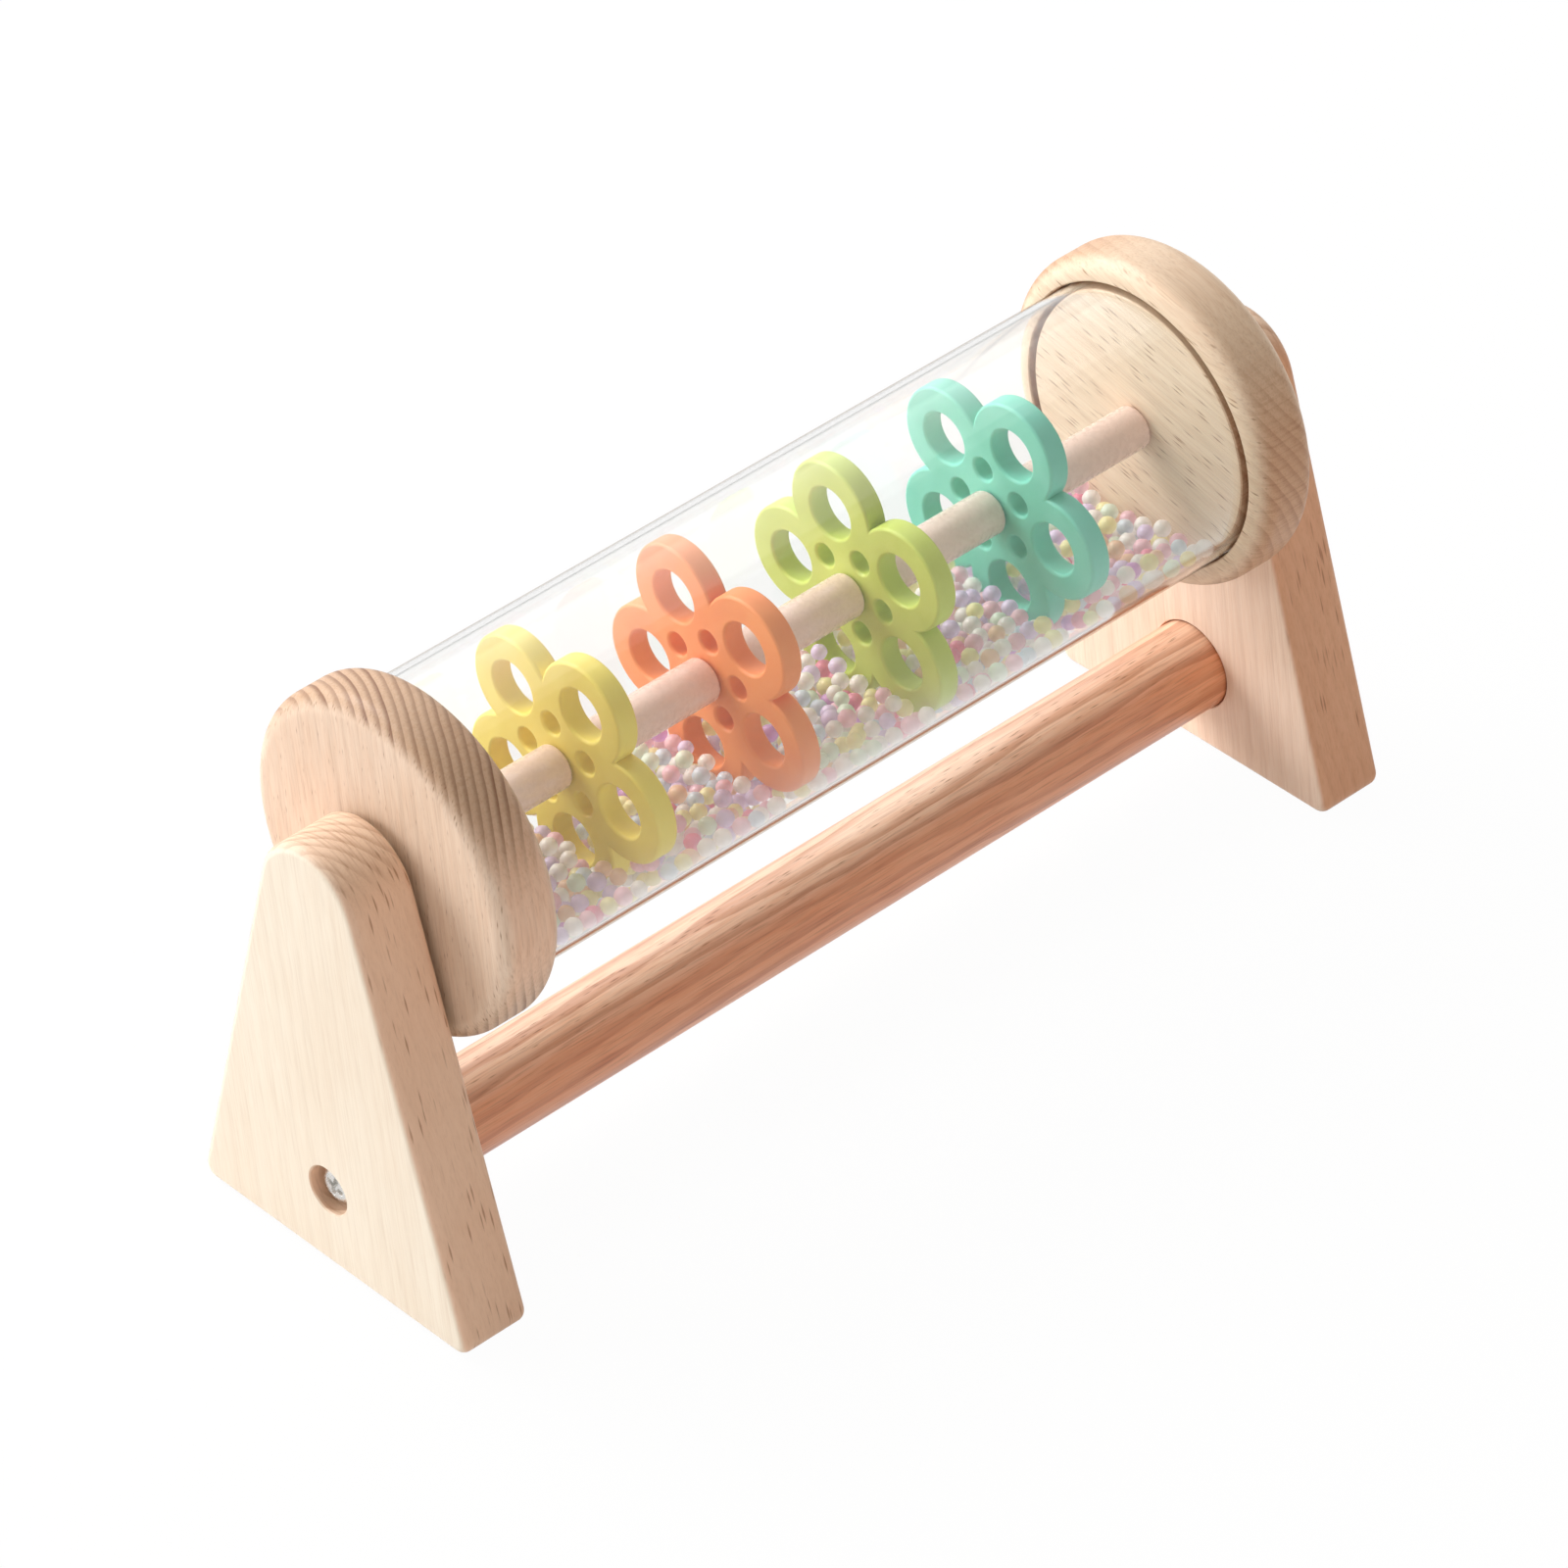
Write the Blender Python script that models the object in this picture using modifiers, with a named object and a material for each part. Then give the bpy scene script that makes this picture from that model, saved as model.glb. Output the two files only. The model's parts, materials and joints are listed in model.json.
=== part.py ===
"""Sensory tube toy: a clear drum with beads and four soft flowers, which spins between two beech legs.

Metres, +Z up, +X along the drum. The origin is on the ground under the middle of the drum.
"""

import math

import bmesh
import bpy

# Stand
LENGTH = 0.280  # outer face of one leg to outer face of the other
LEG_THICKNESS = 0.018
LEG_WIDTH = 0.0886  # along the ground, to the sharp corners before they are rounded
LEG_TOP_RADIUS = 0.0154
LEG_FOOT_RADIUS = 0.0035
LEG_EDGE_ROUND = 0.002
AXIS_HEIGHT = 0.0984  # the drum's axis, which is also the centre of each leg's round top
BAR_DIAMETER = 0.022
BAR_HEIGHT = 0.0214
BAR_SOCKET_DEPTH = 0.003
BAR_CHAMFER = 0.0008

# Screws through the legs into the bar
COUNTERBORE_DIAMETER = 0.012
COUNTERBORE_DEPTH = 0.005
SCREW_HEAD_DIAMETER = 0.009
SCREW_HEAD_HEIGHT = 0.0028
SCREW_HEAD_ROUND = 0.0017
SCREW_SHANK_DIAMETER = 0.004
SCREW_LENGTH = 0.032  # under the head
SCREW_TIP_LENGTH = 0.004
RECESS_SPAN = 0.0048
RECESS_WIDTH = 0.0011
RECESS_DEPTH = 0.0016
RECESS_TURN = 20  # degrees, as the screws happen to be driven

# Drum
DISC_DIAMETER = 0.082
DISC_THICKNESS = 0.0165
DISC_RIM_ROUND = 0.0048
DISC_LEG_GAP = 0.0017
TUBE_DIAMETER = 0.070
TUBE_WALL = 0.002
GROOVE_DEPTH = 0.006
ROD_DIAMETER = 0.006
ROD_CHAMFER = 0.0005
ROD_IN_LEG = 0.010  # depth of the bearing hole in each leg
WASHER_DIAMETER = 0.016
SLEEVE_DIAMETER = 0.0106
SLEEVE_END_ROUND = 0.001

# Flowers
FLOWER_THICKNESS = 0.0055
FLOWER_PITCH = 0.0428
FLOWER_STACK_OFFSET = -0.0026  # the four flowers sit a little to the left of the drum's middle
FLOWER_TUBE_GAP = 0.0014
PETALS = 5
NOTCH_RADIUS = 0.0209  # from the axis to the bottom of the notch between two petals
PETAL_HOLE_DIAMETER = 0.0125
SMALL_HOLE_DIAMETER = 0.0055
SMALL_HOLE_RING = 0.010

# Beads
BEAD_DIAMETER = 0.0042
BEAD_DEPTHS = (0.0160, 0.0130, 0.0135, 0.0145, 0.0110)  # over the tube's lowest line, in each bay from the left
BEAD_UNEVENNESS = 0.0007  # how much lower than the others a bead on top may lie
BEAD_STEPS = 2  # straight lines across the width of one bead

# Clearances
SEAT_GAP = 0.0003  # between faces that rest on each other
SOCKET_FIT = 0.0002  # round a piece that is glued or pressed into a hole
RUNNING_FIT = 0.0003  # round the rod, in what turns on it
BEAD_GAP = 0.0004  # from the beads to the tube, discs and flowers

# Mesh
ROUNDNESS = 0.0001  # the most that a straight side may depart from the circle that it stands for
EDGE_ROUND_STEPS = 1  # points between the two ends of a rounded edge
CUT_MARGIN = 0.002  # how far a cutter stands out of the face that it cuts
WELD = 0.00001  # points nearer than this become one
SMOOTH_ANGLE = 35  # degrees: sharper edges than this stay sharp

# Finishes: colour, roughness, metallic
BEECH_PALE = ((0.80, 0.62, 0.45), 0.62, 0.0)
BEECH_WARM = ((0.66, 0.38, 0.23), 0.55, 0.0)
WHITE_PLASTIC = ((0.86, 0.82, 0.78), 0.32, 0.0)
NYLON = ((0.80, 0.79, 0.76), 0.50, 0.0)
STEEL = ((0.62, 0.61, 0.59), 0.30, 1.0)
CLEAR = ((0.95, 0.97, 0.98), 0.03, 0.0)
BEAD_MIX = ((0.90, 0.72, 0.76), 0.55, 0.0)

# Each flower's name, its petals' turn from the +Y direction towards +Z, and its finish, left to right
FLOWERS = (
    ("flower_yellow", 42.6, ((0.83, 0.66, 0.14), 0.60, 0.0)),
    ("flower_orange", 59.2, ((0.90, 0.30, 0.12), 0.60, 0.0)),
    ("flower_lime", -0.6, ((0.58, 0.72, 0.12), 0.60, 0.0)),
    ("flower_teal", 37.9, ((0.17, 0.62, 0.48), 0.60, 0.0)),
)

# What follows from the sizes above
LEG_INNER_FACE = LENGTH / 2 - LEG_THICKNESS
DISC_OUTER_FACE = LEG_INNER_FACE - DISC_LEG_GAP
DISC_INNER_FACE = DISC_OUTER_FACE - DISC_THICKNESS
TUBE_RADIUS = TUBE_DIAMETER / 2
TUBE_INNER_RADIUS = TUBE_RADIUS - TUBE_WALL
ROD_HOLE_RADIUS = ROD_DIAMETER / 2 + RUNNING_FIT
SHANK_HOLE_RADIUS = SCREW_SHANK_DIAMETER / 2 + SOCKET_FIT
PETAL_REACH = TUBE_INNER_RADIUS - FLOWER_TUBE_GAP
BEAD_BED_RADIUS = TUBE_INNER_RADIUS - BEAD_GAP
BEAD_ROW_GAP = BEAD_DIAMETER * math.cos(math.radians(30))  # between staggered rows of beads that touch


def clear_scene():
    for obj in list(bpy.data.objects):
        bpy.data.objects.remove(obj, do_unlink=True)


def new_collection(name):
    collection = bpy.data.collections.new(name)
    bpy.context.scene.collection.children.link(collection)
    return collection


def new_material(name, finish):
    colour, roughness, metallic = finish
    material = bpy.data.materials.new(name)
    material.use_nodes = True
    shader = material.node_tree.nodes["Principled BSDF"]
    shader.inputs["Base Color"].default_value = (*colour, 1)
    shader.inputs["Roughness"].default_value = roughness
    shader.inputs["Metallic"].default_value = metallic
    return material


def new_empty(name, location, collection):
    empty = bpy.data.objects.new(name, None)
    empty.empty_display_size = 0.01
    empty.location = location
    collection.objects.link(empty)
    return empty


def add_piece(name, mesh, material, collection, parent=None, location=(0, 0, 0), rotation=(0, 0, 0)):
    obj = bpy.data.objects.new(name, mesh)
    if material:
        mesh.materials.clear()
        mesh.materials.append(material)
    obj.parent = parent
    obj.location = location
    obj.rotation_euler = rotation
    collection.objects.link(obj)
    return obj


def add_cutter(name, mesh, collection, **place):
    cutter = add_piece(name, mesh, None, collection, **place)
    cutter.hide_render = True
    cutter.display_type = "WIRE"
    return cutter


def cut(obj, cutter):
    modifier = obj.modifiers.new(cutter.name, "BOOLEAN")
    modifier.operation = "DIFFERENCE"
    modifier.solver = "EXACT"
    modifier.object = cutter


def sides(radius):
    """How many straight sides stand for a circle: a multiple of four, which keeps its width and height."""
    return 4 * math.ceil(math.pi / 4 / math.acos(1 - ROUNDNESS / radius))


def around(centre, radius, angle):
    """The point of a circle at an angle in degrees."""
    turn = math.radians(angle)
    return (centre[0] + radius * math.cos(turn), centre[1] + radius * math.sin(turn))


def arc(centre, radius, start, end):
    """Points of a circle from one angle to another, with both ends."""
    steps = math.ceil(sides(radius) * abs(end - start) / 360)
    return [around(centre, radius, start + (end - start) * i / steps) for i in range(steps + 1)]


def circle(centre, radius):
    return arc(centre, radius, 0, 360)[:-1]


def evaluated_mesh(holder):
    """The mesh that an object with modifiers, or a curve, evaluates to, welded. The object is removed."""
    bpy.context.scene.collection.objects.link(holder)
    graph = bpy.context.evaluated_depsgraph_get()
    mesh = bpy.data.meshes.new_from_object(holder.evaluated_get(graph))
    bpy.data.objects.remove(holder, do_unlink=True)
    welded = bmesh.new()
    welded.from_mesh(mesh)
    bmesh.ops.remove_doubles(welded, verts=welded.verts, dist=WELD)
    welded.to_mesh(mesh)
    welded.free()
    return mesh


def flat_mesh(name, loops, thickness, edge_round=0):
    """A flat piece, from closed outlines in its XY plane. Each outline after the first is a hole.

    The edges round both faces may be rounded, inside the outlines.
    """
    curve = bpy.data.curves.new(name, "CURVE")
    curve.dimensions = "2D"
    curve.fill_mode = "BOTH"
    curve.extrude = thickness / 2 - edge_round
    curve.bevel_depth = edge_round
    curve.offset = -edge_round
    curve.bevel_resolution = EDGE_ROUND_STEPS
    for points in loops:
        spline = curve.splines.new("POLY")
        spline.points.add(len(points) - 1)
        for place, (x, y) in zip(spline.points, points):
            place.co = (x, y, 0, 1)
        spline.use_cyclic_u = True
    return evaluated_mesh(bpy.data.objects.new(name, curve))


def turned_mesh(name, profile, ring=False):
    """A turned piece, from (radius, height) points that run down its outer side.

    A ring's profile closes on itself; any other profile starts and ends on the axis.
    """
    outline = bpy.data.meshes.new(name + "_profile")
    edges = [(i, i + 1) for i in range(len(profile) - 1)]
    if ring:
        edges.append((len(profile) - 1, 0))
    outline.from_pydata([(radius, 0, height) for radius, height in profile], edges, [])
    holder = bpy.data.objects.new(name, outline)
    steps = sides(max(radius for radius, height in profile))
    screw = holder.modifiers.new("turn", "SCREW")
    screw.steps = steps
    screw.render_steps = steps
    screw.use_merge_vertices = True
    screw.merge_threshold = WELD
    mesh = evaluated_mesh(holder)
    mesh.shade_smooth()
    mesh.set_sharp_from_angle(angle=math.radians(SMOOTH_ANGLE))
    return mesh


def facing(side):
    """Turns a piece's own +Z to +X for the right-hand side (1) or to -X for the left-hand side (-1)."""
    return (0, side * math.pi / 2, 0)


# Turns a flat piece's own X, Y and Z to the toy's Y, Z and X
ACROSS = (math.pi / 2, 0, math.pi / 2)


def leg_outline():
    """A triangle with rounded lower corners, whose sides run tangent into the round top."""
    half = LEG_WIDTH / 2
    to_top = math.atan2(AXIS_HEIGHT, -half)
    side = math.degrees(to_top - math.asin(LEG_TOP_RADIUS / math.hypot(half, AXIS_HEIGHT)))
    foot = half - LEG_FOOT_RADIUS / math.tan(math.radians(180 - side) / 2)
    right = arc((foot, LEG_FOOT_RADIUS), LEG_FOOT_RADIUS, -90, side - 90)
    top = arc((0, AXIS_HEIGHT), LEG_TOP_RADIUS, side - 90, 270 - side)
    left = arc((-foot, LEG_FOOT_RADIUS), LEG_FOOT_RADIUS, 270 - side, 270)
    return right + top + left


def bar_joint_profile():
    """The stepped hole through a leg: counterbore, screw hole and the bar's socket, from outside in."""
    outside = LEG_THICKNESS / 2
    counterbore = outside - COUNTERBORE_DEPTH
    socket = BAR_SOCKET_DEPTH - outside
    socket_radius = BAR_DIAMETER / 2 + SOCKET_FIT
    return [
        (0, outside + CUT_MARGIN),
        (COUNTERBORE_DIAMETER / 2, outside + CUT_MARGIN),
        (COUNTERBORE_DIAMETER / 2, counterbore),
        (SHANK_HOLE_RADIUS, counterbore),
        (SHANK_HOLE_RADIUS, socket),
        (socket_radius, socket),
        (socket_radius, -outside - CUT_MARGIN),
        (0, -outside - CUT_MARGIN),
    ]


def bearing_profile():
    """The blind hole for the rod's end, from its bottom out through the leg's inner face."""
    inside = -LEG_THICKNESS / 2
    return [
        (0, inside + ROD_IN_LEG),
        (ROD_HOLE_RADIUS, inside + ROD_IN_LEG),
        (ROD_HOLE_RADIUS, inside - CUT_MARGIN),
        (0, inside - CUT_MARGIN),
    ]


def add_leg(name, side, material, parts, cutters):
    """One leg, with its edges rounded and the holes for the bar, its screw and the rod."""
    middle = side * (LEG_INNER_FACE + LEG_THICKNESS / 2)
    mesh = flat_mesh(name, [leg_outline()], LEG_THICKNESS, LEG_EDGE_ROUND)
    leg = add_piece(name, mesh, material, parts, location=(middle, 0, 0), rotation=ACROSS)
    holes = (
        (name + "_bar_joint", bar_joint_profile(), BAR_HEIGHT),
        (name + "_bearing", bearing_profile(), AXIS_HEIGHT),
    )
    for hole, profile, height in holes:
        place = {"location": (middle, 0, height), "rotation": facing(side)}
        cut(leg, add_cutter(hole, turned_mesh(hole, profile), cutters, **place))


def bar_half_length():
    return LEG_INNER_FACE + BAR_SOCKET_DEPTH - SEAT_GAP


def screw_seat():
    """The X of the counterbore's floor, where the screw's head sits."""
    return LENGTH / 2 - COUNTERBORE_DEPTH


def bar_profile():
    """A dowel with chamfered ends and a blind pilot hole in each, a little longer than the screw reaches."""
    half = bar_half_length()
    radius = BAR_DIAMETER / 2
    pilot = screw_seat() - SCREW_LENGTH
    return [
        (0, pilot),
        (SHANK_HOLE_RADIUS, pilot),
        (SHANK_HOLE_RADIUS, half),
        (radius - BAR_CHAMFER, half),
        (radius, half - BAR_CHAMFER),
        (radius, -half + BAR_CHAMFER),
        (radius - BAR_CHAMFER, -half),
        (SHANK_HOLE_RADIUS, -half),
        (SHANK_HOLE_RADIUS, -pilot),
        (0, -pilot),
    ]


def screw_profile():
    """A pan head over a plain shank with a point. Height 0 is under the head."""
    head = SCREW_HEAD_DIAMETER / 2
    shank = SCREW_SHANK_DIAMETER / 2
    dome_centre = (head - SCREW_HEAD_ROUND, SCREW_HEAD_HEIGHT - SCREW_HEAD_ROUND)
    dome = arc(dome_centre, SCREW_HEAD_ROUND, 90, 0)
    point = [(shank, 0), (shank, SCREW_TIP_LENGTH - SCREW_LENGTH), (0, -SCREW_LENGTH)]
    return [(0, SCREW_HEAD_HEIGHT)] + dome + [(head, 0)] + point


def cross_outline():
    """The screw head's cross recess."""
    reach = RECESS_SPAN / 2
    half = RECESS_WIDTH / 2
    outline = []
    for quarter in range(4):
        for x, y in ((reach, -half), (reach, half), (half, half)):
            angle = math.degrees(math.atan2(y, x)) + 90 * quarter
            outline.append(around((0, 0), math.hypot(x, y), angle))
    return outline


def add_bar_screw(name, side, material, parts, cutters):
    place = {
        "location": (side * (screw_seat() + SEAT_GAP), 0, BAR_HEIGHT),
        "rotation": facing(side),
    }
    screw = add_piece(name, turned_mesh(name, screw_profile()), material, parts, **place)
    recess_mesh = flat_mesh(name + "_recess", [cross_outline()], 2 * RECESS_DEPTH)
    at_top = {"location": (0, 0, SCREW_HEAD_HEIGHT), "rotation": (0, 0, math.radians(RECESS_TURN))}
    cut(screw, add_cutter(name + "_recess", recess_mesh, cutters, parent=screw, **at_top))


def disc_profile():
    """A drum end: bored for the rod, grooved for the tube, with rounded rims. Height 0 is the outer face."""
    radius = DISC_DIAMETER / 2
    centre = radius - DISC_RIM_ROUND
    groove_inside = TUBE_INNER_RADIUS - SOCKET_FIT
    groove_outside = TUBE_RADIUS + SOCKET_FIT
    rod = ROD_DIAMETER / 2 + SOCKET_FIT
    inner_face = [
        (rod, DISC_THICKNESS),
        (groove_inside, DISC_THICKNESS),
        (groove_inside, DISC_THICKNESS - GROOVE_DEPTH),
        (groove_outside, DISC_THICKNESS - GROOVE_DEPTH),
        (groove_outside, DISC_THICKNESS),
    ]
    inner_rim = arc((centre, DISC_THICKNESS - DISC_RIM_ROUND), DISC_RIM_ROUND, 90, 0)
    outer_rim = arc((centre, DISC_RIM_ROUND), DISC_RIM_ROUND, 0, -90)
    return inner_face + inner_rim + outer_rim + [(rod, 0)]


def ring_profile(outer, inner, length, end_round=0):
    """A tube centred on height 0, whose outer edges may be rounded."""
    top = length / 2
    if end_round:
        upper = arc((outer - end_round, top - end_round), end_round, 90, 0)
        lower = arc((outer - end_round, end_round - top), end_round, 0, -90)
    else:
        upper = [(outer, top)]
        lower = [(outer, -top)]
    return [(inner, top)] + upper + lower + [(inner, -top)]


def rod_profile():
    half = LEG_INNER_FACE + ROD_IN_LEG - SEAT_GAP
    radius = ROD_DIAMETER / 2
    return [
        (0, half),
        (radius - ROD_CHAMFER, half),
        (radius, half - ROD_CHAMFER),
        (radius, -half + ROD_CHAMFER),
        (radius - ROD_CHAMFER, -half),
        (0, -half),
    ]


def flower_centres():
    first = FLOWER_STACK_OFFSET - FLOWER_PITCH * (len(FLOWERS) - 1) / 2
    return [first + FLOWER_PITCH * i for i in range(len(FLOWERS))]


def bays():
    """The spaces along the rod between the discs and the flowers, each as its two X limits."""
    limits = [-DISC_INNER_FACE]
    for centre in flower_centres():
        limits += [centre - FLOWER_THICKNESS / 2, centre + FLOWER_THICKNESS / 2]
    limits.append(DISC_INNER_FACE)
    return list(zip(limits[0::2], limits[1::2]))


def petal_circle():
    """(ring, radius): how far from the axis a petal's circle is centred, and its radius.

    Each circle reaches PETAL_REACH and passes through the notches on its two sides.
    """
    across = PETAL_REACH - NOTCH_RADIUS * math.cos(math.pi / PETALS)
    ring = (PETAL_REACH**2 - NOTCH_RADIUS**2) / (2 * across)
    return ring, PETAL_REACH - ring


def flower_loops(first_turn):
    """The flower's outline, its rod hole, and a large and a small hole for each petal.

    The first petal points first_turn degrees from +X.
    """
    ring, radius = petal_circle()
    half_turn = 180 / PETALS
    notch = math.radians(half_turn)
    sweep = math.degrees(math.atan2(NOTCH_RADIUS * math.sin(notch), NOTCH_RADIUS * math.cos(notch) - ring))
    outline, holes = [], []
    for petal in range(PETALS):
        turn = first_turn + 2 * half_turn * petal
        centre = around((0, 0), ring, turn)
        small = around((0, 0), SMALL_HOLE_RING, turn + half_turn)
        outline += arc(centre, radius, turn - sweep, turn + sweep)[:-1]
        holes.append(circle(centre, PETAL_HOLE_DIAMETER / 2))
        holes.append(circle(small, SMALL_HOLE_DIAMETER / 2))
    return [outline, circle((0, 0), ROD_HOLE_RADIUS)] + holes


def bead_outline(level):
    """What lies below a level, in the curve of the tube's wall. The level is a height over the drum's axis."""
    half = math.degrees(math.acos(-level / BEAD_BED_RADIUS))
    return arc((0, 0), BEAD_BED_RADIUS, -90 - half, -90 + half)


def bead_hollow(along, across):
    """How far the beads' skin lies below their tops: balls in staggered rows along the tube, some a little lower."""
    radius = BEAD_DIAMETER / 2
    nearest = round(across / BEAD_ROW_GAP)
    hollows = []
    for row in (nearest - 1, nearest, nearest + 1):
        start = radius * (row % 2)
        column = round((along - start) / BEAD_DIAMETER)
        off_centre = math.hypot(along - start - column * BEAD_DIAMETER, across - row * BEAD_ROW_GAP)
        lowered = BEAD_UNEVENNESS * (1 + math.sin(4 * row + 7 * column)) / 2
        hollows.append(lowered + radius - math.sqrt(max(radius**2 - off_centre**2, 0)))
    return min(hollows)


def bead_top_mesh(name, length, level):
    """The space over a bay's beads, whose underside is their domed skin. It thins out to the tube's wall."""
    steps = (BEAD_DIAMETER / BEAD_STEPS, BEAD_ROW_GAP / 2)
    counts = [math.ceil(reach / step) + 1 for reach, step in zip((length / 2, BEAD_BED_RADIUS), steps)]
    skin = bmesh.new()
    bmesh.ops.create_grid(skin, x_segments=2 * counts[0], y_segments=2 * counts[1], size=1)
    for vertex in skin.verts:
        along = vertex.co.x * counts[0] * steps[0]
        across = vertex.co.y * counts[1] * steps[1]
        beads_under = level + math.sqrt(max(BEAD_BED_RADIUS**2 - across**2, level**2))
        vertex.co = (along, across, level - min(bead_hollow(along, across), beads_under / 2))
    raised = bmesh.ops.extrude_face_region(skin, geom=skin.faces[:])
    for vertex in (item for item in raised["geom"] if isinstance(item, bmesh.types.BMVert)):
        vertex.co.z = level + 2 * CUT_MARGIN
    bmesh.ops.recalc_face_normals(skin, faces=skin.faces)
    mesh = bpy.data.meshes.new(name)
    skin.to_mesh(mesh)
    skin.free()
    return mesh


def build_stand(parts, cutters):
    pale = new_material("beech_leg", BEECH_PALE)
    warm = new_material("beech_bar", BEECH_WARM)
    steel = new_material("steel_screw", STEEL)
    for name, side in (("left", -1), ("right", 1)):
        add_leg("leg_" + name, side, pale, parts, cutters)
        add_bar_screw("crossbar_screw_" + name, side, steel, parts, cutters)
    bar = turned_mesh("crossbar", bar_profile())
    add_piece("crossbar", bar, warm, parts, location=(0, 0, BAR_HEIGHT), rotation=facing(1))


def build_drum(parts, axis):
    """The discs, tube, rod, sleeves and washers, which turn as one about the axis empty."""
    beech = new_material("beech_disc", BEECH_PALE)
    beech_rod = new_material("beech_rod", BEECH_PALE)
    clear = new_material("clear_tube", CLEAR)
    plastic = new_material("white_sleeve", WHITE_PLASTIC)
    nylon = new_material("nylon_washer", NYLON)
    shader = clear.node_tree.nodes["Principled BSDF"]
    shader.inputs["Transmission Weight"].default_value = 1
    shader.inputs["IOR"].default_value = 1.49

    disc = turned_mesh("drum_disc", disc_profile(), ring=True)
    washer_thickness = DISC_LEG_GAP - 2 * SEAT_GAP
    washer_profile = ring_profile(WASHER_DIAMETER / 2, ROD_HOLE_RADIUS, washer_thickness)
    washer = turned_mesh("thrust_washer", washer_profile, ring=True)
    for name, side in (("left", -1), ("right", 1)):
        place = {"parent": axis, "rotation": facing(-side)}
        add_piece("drum_disc_" + name, disc, beech, parts, location=(side * DISC_OUTER_FACE, 0, 0), **place)
        gap_middle = side * (DISC_OUTER_FACE + DISC_LEG_GAP / 2)
        add_piece("thrust_washer_" + name, washer, nylon, parts, location=(gap_middle, 0, 0), **place)

    tube_length = 2 * (DISC_INNER_FACE + GROOVE_DEPTH - SEAT_GAP)
    tube_profile = ring_profile(TUBE_RADIUS, TUBE_INNER_RADIUS, tube_length)
    tube = turned_mesh("clear_tube", tube_profile, ring=True)
    add_piece("clear_tube", tube, clear, parts, parent=axis, rotation=facing(1))
    rod = turned_mesh("axle_rod", rod_profile())
    add_piece("axle_rod", rod, beech_rod, parts, parent=axis, rotation=facing(1))

    for number, (start, end) in enumerate(bays(), 1):
        length = end - start - 2 * SEAT_GAP
        name = f"spacer_sleeve_{number}"
        profile = ring_profile(SLEEVE_DIAMETER / 2, ROD_HOLE_RADIUS, length, SLEEVE_END_ROUND)
        place = {"parent": axis, "location": ((start + end) / 2, 0, 0), "rotation": facing(1)}
        add_piece(name, turned_mesh(name, profile, ring=True), plastic, parts, **place)


def build_flowers(parts, axis):
    """Each flower turns by itself on the rod, about its own origin."""
    for (name, turn, finish), centre in zip(FLOWERS, flower_centres()):
        mesh = flat_mesh(name, flower_loops(turn), FLOWER_THICKNESS)
        place = {"parent": axis, "location": (centre, 0, 0), "rotation": ACROSS}
        add_piece(name, mesh, new_material(name, finish), parts, **place)


def build_beads(parts, cutters):
    """The loose beads of each bay as one solid, whose origin is on the axis that they slide round."""
    material = new_material("beads", BEAD_MIX)
    for number, ((start, end), depth) in enumerate(zip(bays(), BEAD_DEPTHS), 1):
        name = f"bead_bed_{number}"
        length = end - start - 2 * BEAD_GAP
        level = depth - TUBE_INNER_RADIUS
        place = {"location": ((start + end) / 2, 0, AXIS_HEIGHT)}
        mesh = flat_mesh(name, [bead_outline(level + CUT_MARGIN)], length)
        bed = add_piece(name, mesh, material, parts, rotation=ACROSS, **place)
        cut(bed, add_cutter(name + "_top", bead_top_mesh(name + "_top", length, level), cutters, **place))


def main():
    clear_scene()
    parts = new_collection("sensory_tube_toy")
    cutters = new_collection("cutters")
    build_stand(parts, cutters)
    axis = new_empty("drum_axis", (0, 0, AXIS_HEIGHT), parts)
    build_drum(parts, axis)
    build_flowers(parts, axis)
    build_beads(parts, cutters)


main()
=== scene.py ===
import json
import math

import bmesh
import bpy
import numpy as np
from mathutils import Matrix, Vector


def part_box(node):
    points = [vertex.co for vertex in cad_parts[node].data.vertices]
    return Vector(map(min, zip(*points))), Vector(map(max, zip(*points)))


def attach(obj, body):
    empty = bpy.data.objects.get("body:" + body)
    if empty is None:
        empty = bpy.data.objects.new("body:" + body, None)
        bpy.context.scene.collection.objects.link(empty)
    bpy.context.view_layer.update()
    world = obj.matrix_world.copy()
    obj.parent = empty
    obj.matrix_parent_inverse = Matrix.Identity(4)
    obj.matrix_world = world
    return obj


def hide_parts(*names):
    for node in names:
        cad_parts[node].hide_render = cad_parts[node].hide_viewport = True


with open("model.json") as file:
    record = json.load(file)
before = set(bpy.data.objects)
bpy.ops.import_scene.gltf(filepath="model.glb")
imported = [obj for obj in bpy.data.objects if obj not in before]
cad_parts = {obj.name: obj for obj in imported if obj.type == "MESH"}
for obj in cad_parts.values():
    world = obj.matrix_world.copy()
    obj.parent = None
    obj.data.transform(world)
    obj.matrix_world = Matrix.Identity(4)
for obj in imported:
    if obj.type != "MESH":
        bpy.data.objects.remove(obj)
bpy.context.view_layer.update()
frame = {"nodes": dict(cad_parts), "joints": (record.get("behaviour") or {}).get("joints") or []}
joints = {joint["name"]: joint for joint in frame["joints"]}
axisHeight = joints["drum_spin"]["pos_m"][2]  # the drum turns about a line along X at this height
weldDistance = 1e-7  # points nearer than this become one
onEnd = 1e-6  # an edge this near to the end of a piece belongs to it
print("frame loaded")


# Shapes

def arcPoints(centre, radius, start, end, steps):
    # centre + radius * (cos a, sin a), with the angle a going evenly from start to end in degrees
    angle = np.radians(np.linspace(start, end, steps + 1))
    return np.array(centre) + radius * np.stack([np.cos(angle), np.sin(angle)], 1)


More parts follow.
